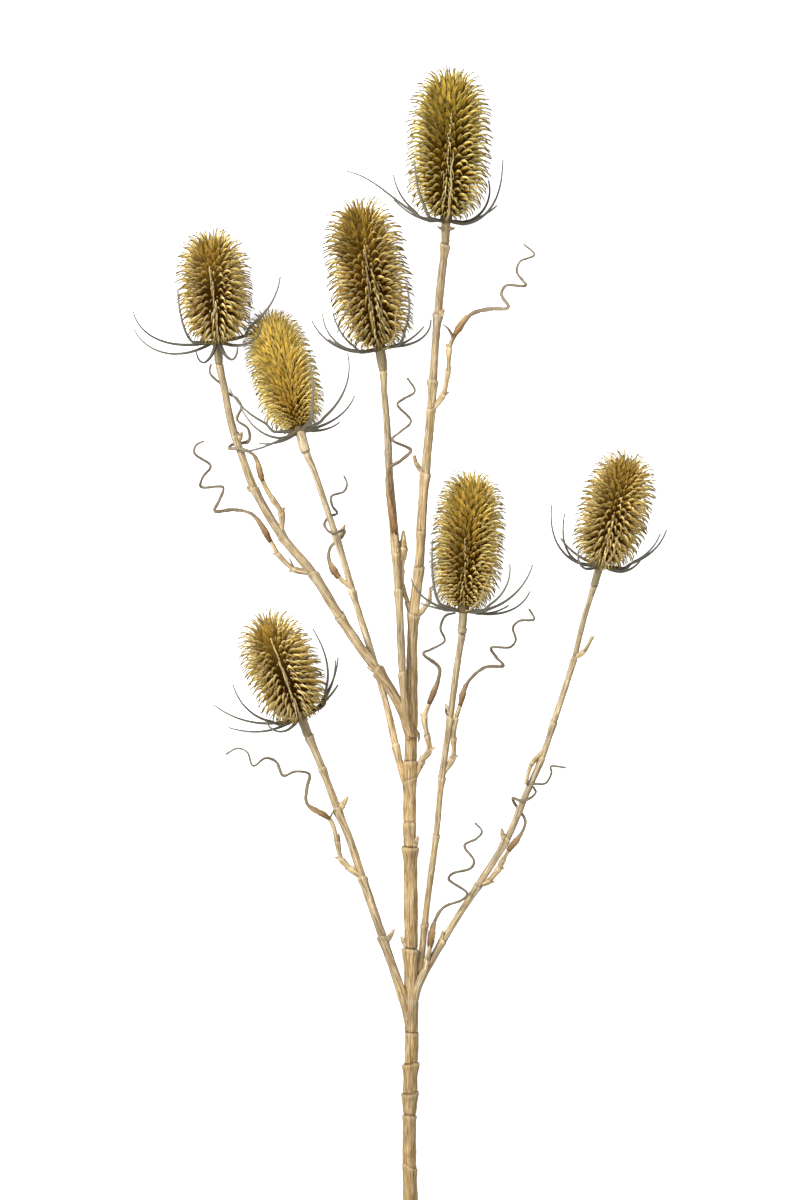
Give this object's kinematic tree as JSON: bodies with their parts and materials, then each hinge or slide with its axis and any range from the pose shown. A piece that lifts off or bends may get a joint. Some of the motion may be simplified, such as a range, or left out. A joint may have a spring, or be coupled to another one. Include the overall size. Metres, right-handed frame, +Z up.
{
  "type": "teasel seed head spray",
  "caption": "Cut branching stem of dry teasel lying down, with oval spiny seed heads, long curved bracts under each head, ringed joints and curly tendrils.",
  "frame": {"origin": "middle of the footprint, on the surface that the spray lies on", "axes": "+Y along the main stem from its cut end to the top head, +Z up from the surface, +X to the right seen from above"},
  "size_m": [0.3214, 0.6858, 0.0552],
  "materials": {
    "stem": "dry tan stem, matte, with fine lengthwise streaks",
    "head": "dry olive-mustard spines with paler tips, matte",
    "bract": "dry grey-olive bracts, matte",
    "tendril": "dry brown sheath and grey-brown tendril, matte"
  },
  "bodies": {
    "root": {"stem_main": "stem", "stem_left_top": "stem", "stem_left_upper": "stem", "stem_centre": "stem", "stem_mid_right": "stem", "stem_right": "stem", "stem_left_low": "stem", "tendril_1": "tendril", "tendril_2": "tendril", "tendril_3": "tendril", "tendril_4": "tendril", "tendril_5": "tendril", "tendril_6": "tendril", "tendril_7": "tendril", "tendril_8": "tendril", "tendril_9": "tendril", "tendril_10": "tendril", "head_top": "head", "head_left_top": "head", "head_left_upper": "head", "head_centre": "head", "head_mid_right": "head", "head_right": "head", "head_left_low": "head", "bracts_top": "bract", "bracts_left_top": "bract", "bracts_left_upper": "bract", "bracts_centre": "bract", "bracts_mid_right": "bract", "bracts_right": "bract", "bracts_left_low": "bract"}
  },
  "joints": []
}
